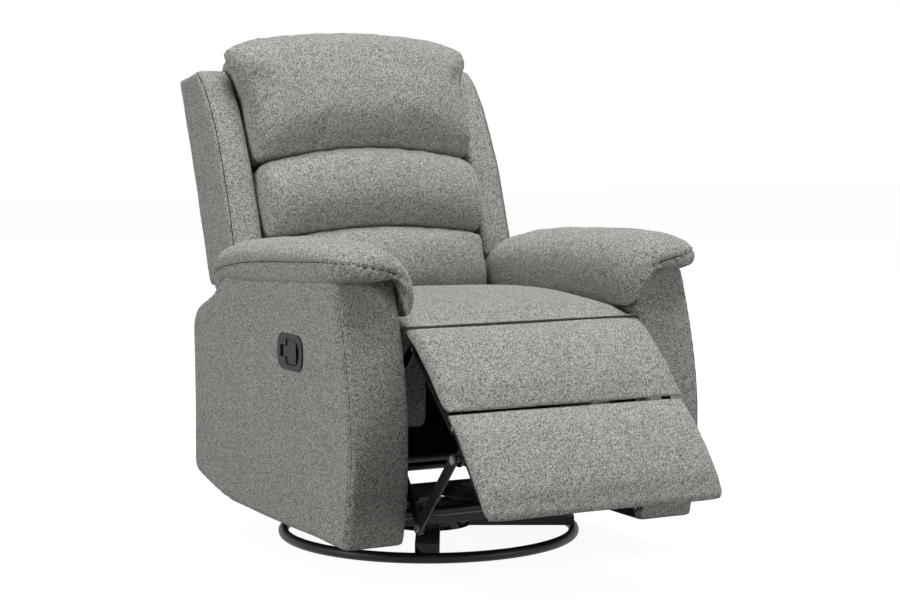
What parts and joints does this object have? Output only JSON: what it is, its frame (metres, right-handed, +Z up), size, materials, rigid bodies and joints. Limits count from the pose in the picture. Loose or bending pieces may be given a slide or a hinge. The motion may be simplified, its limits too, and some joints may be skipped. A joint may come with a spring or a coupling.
{
  "type": "star base swivel recliner",
  "caption": "Grey fabric swivel glider recliner with padded arms, a winged back in three lobes, a fold-out leg rest, a side release handle and a black round base",
  "frame": {"origin": "swivel axis at the floor: the middle of the ring base, level with the floor", "axes": "+Z up; the chair faces -Y; +X is the sitter's left; the release handle is on the arm at -X"},
  "size_m": [0.834, 1.3091, 1.0766],
  "materials": {
    "heather_fabric": "heathered grey woven cloth, matt",
    "frame_steel": "black satin powder coat",
    "bright_steel": "zinc-plated steel",
    "handle_plastic": "dark grey moulded plastic, fine grain",
    "frame_wood": "raw plywood and softwood, inside the upholstery"
  },
  "bodies": {
    "base": {"base_ring": "frame_steel", "base_star": "frame_steel", "bearing_lower_plate": "bright_steel", "ball_cage": "handle_plastic", "bearing_balls": "bright_steel", "king_bolt": "bright_steel"},
    "swivel_frame": {"bearing_upper_plate": "bright_steel", "glider_frame": "frame_steel", "hanger_posts": "frame_steel", "upper_link_pins": "bright_steel"},
    "front_links": {"glider_links_front": "frame_steel"},
    "rear_links": {"glider_links_rear": "frame_steel"},
    "chair": {"carriage_rails": "frame_steel", "lower_link_pins": "bright_steel", "cross_tubes": "frame_steel", "base_plates": "frame_steel", "base_plate_fasteners": "bright_steel", "rear_panel": "heather_fabric", "arm_inner_panel_left": "heather_fabric", "arm_inner_panel_right": "heather_fabric", "arm_frame_left": "frame_wood", "arm_frame_right": "frame_wood", "arm_outer_panel_left": "heather_fabric", "arm_outer_panel_right": "heather_fabric", "arm_front_panel_left": "heather_fabric", "arm_front_panel_right": "heather_fabric", "arm_pad_left": "heather_fabric", "arm_pad_right": "heather_fabric", "handle_bezel": "handle_plastic", "lever_pin": "bright_steel", "lever_spring": "bright_steel", "release_cable": "handle_plastic"},
    "lever": {"release_lever": "handle_plastic"},
    "seat": {"seat_plates": "frame_steel", "seat_rollers": "bright_steel", "seat_side_rails": "heather_fabric", "seat_cross_rails": "frame_wood", "seat_springs": "bright_steel", "seat_cushion": "heather_fabric", "seat_pivot_pins": "bright_steel"},
    "upper_leg_rest": {"chaise_board": "frame_wood", "chaise_pad": "heather_fabric", "chaise_brackets": "frame_steel", "fold_pins": "bright_steel"},
    "lower_leg_rest": {"footrest_board": "frame_wood", "footrest_pad": "heather_fabric", "footrest_brackets": "frame_steel", "footrest_pins": "bright_steel"},
    "drive_linkage": {"drive_links": "frame_steel", "drive_tube": "frame_steel", "knee_pins": "bright_steel"},
    "ottoman_linkage": {"ottoman_links": "frame_steel"},
    "back": {"back_frame": "frame_wood", "back_panel": "heather_fabric", "wing_left": "heather_fabric", "wing_right": "heather_fabric", "headrest_lobe": "heather_fabric", "middle_lobe": "heather_fabric", "lumbar_lobe": "heather_fabric", "back_brackets": "frame_steel"}
  },
  "joints": [
    {"name": "swivel", "type": "hinge", "parent": "base", "child": "swivel_frame", "pos_m": [0, 0, 0], "axis": [0, 0, 1], "continuous": true},
    {"name": "glide", "type": "hinge", "parent": "swivel_frame", "child": "front_links", "pos_m": [0, -0.14, 0.2], "axis": [1, 0, 0], "range_deg": [-20, 20]},
    {"name": "glide_rear_links", "type": "hinge", "parent": "swivel_frame", "child": "rear_links", "pos_m": [0, 0.14, 0.2], "axis": [1, 0, 0], "range_deg": [-21, 21]},
    {"name": "glide_level", "type": "hinge", "parent": "front_links", "child": "chair", "pos_m": [0, -0.14, 0.1], "axis": [1, 0, 0], "range_deg": [-21, 21]},
    {"name": "recline", "type": "hinge", "parent": "chair", "child": "back", "pos_m": [0, 0.2, 0.4], "axis": [-1, 0, 0], "range_deg": [0, 34]},
    {"name": "seat_slide", "type": "slide", "parent": "chair", "child": "seat", "axis": [0, -1, 0], "range_m": [0, 0.061]},
    {"name": "leg_rest", "type": "hinge", "parent": "seat", "child": "upper_leg_rest", "pos_m": [0, -0.425, 0.455], "axis": [-1, 0, 0], "range_deg": [-37, 35]},
    {"name": "leg_rest_fold", "type": "hinge", "parent": "upper_leg_rest", "child": "lower_leg_rest", "pos_m": [0, -0.57989, 0.32224], "axis": [-1, 0, 0], "range_deg": [-11.5, 11]},
    {"name": "drive_link", "type": "hinge", "parent": "seat", "child": "drive_linkage", "pos_m": [0, -0.29, 0.31], "axis": [-1, 0, 0], "range_deg": [-40, 38]},
    {"name": "knee", "type": "hinge", "parent": "drive_linkage", "child": "ottoman_linkage", "pos_m": [0, -0.44605, 0.11098], "axis": [-1, 0, 0], "range_deg": [-37, 39]},
    {"name": "release", "type": "hinge", "parent": "chair", "child": "lever", "pos_m": [-0.387, -0.1385, 0.4315], "axis": [0, 0, -1], "range_deg": [0, 30], "stiffness_Nm_per_rad": 0.6, "springref_deg": -17.19}
  ],
  "couplings": [
    {"joint": "glide_rear_links", "follows": "glide", "ratio": 1},
    {"joint": "glide_level", "follows": "glide", "ratio": -1},
    {"joint": "seat_slide", "follows": "recline", "m_per_rad": 0.101},
    {"joint": "leg_rest_fold", "follows": "leg_rest", "ratio": 0.3},
    {"joint": "drive_link", "follows": "leg_rest", "ratio": 1.071},
    {"joint": "knee", "follows": "leg_rest", "ratio": -1.025}
  ]
}
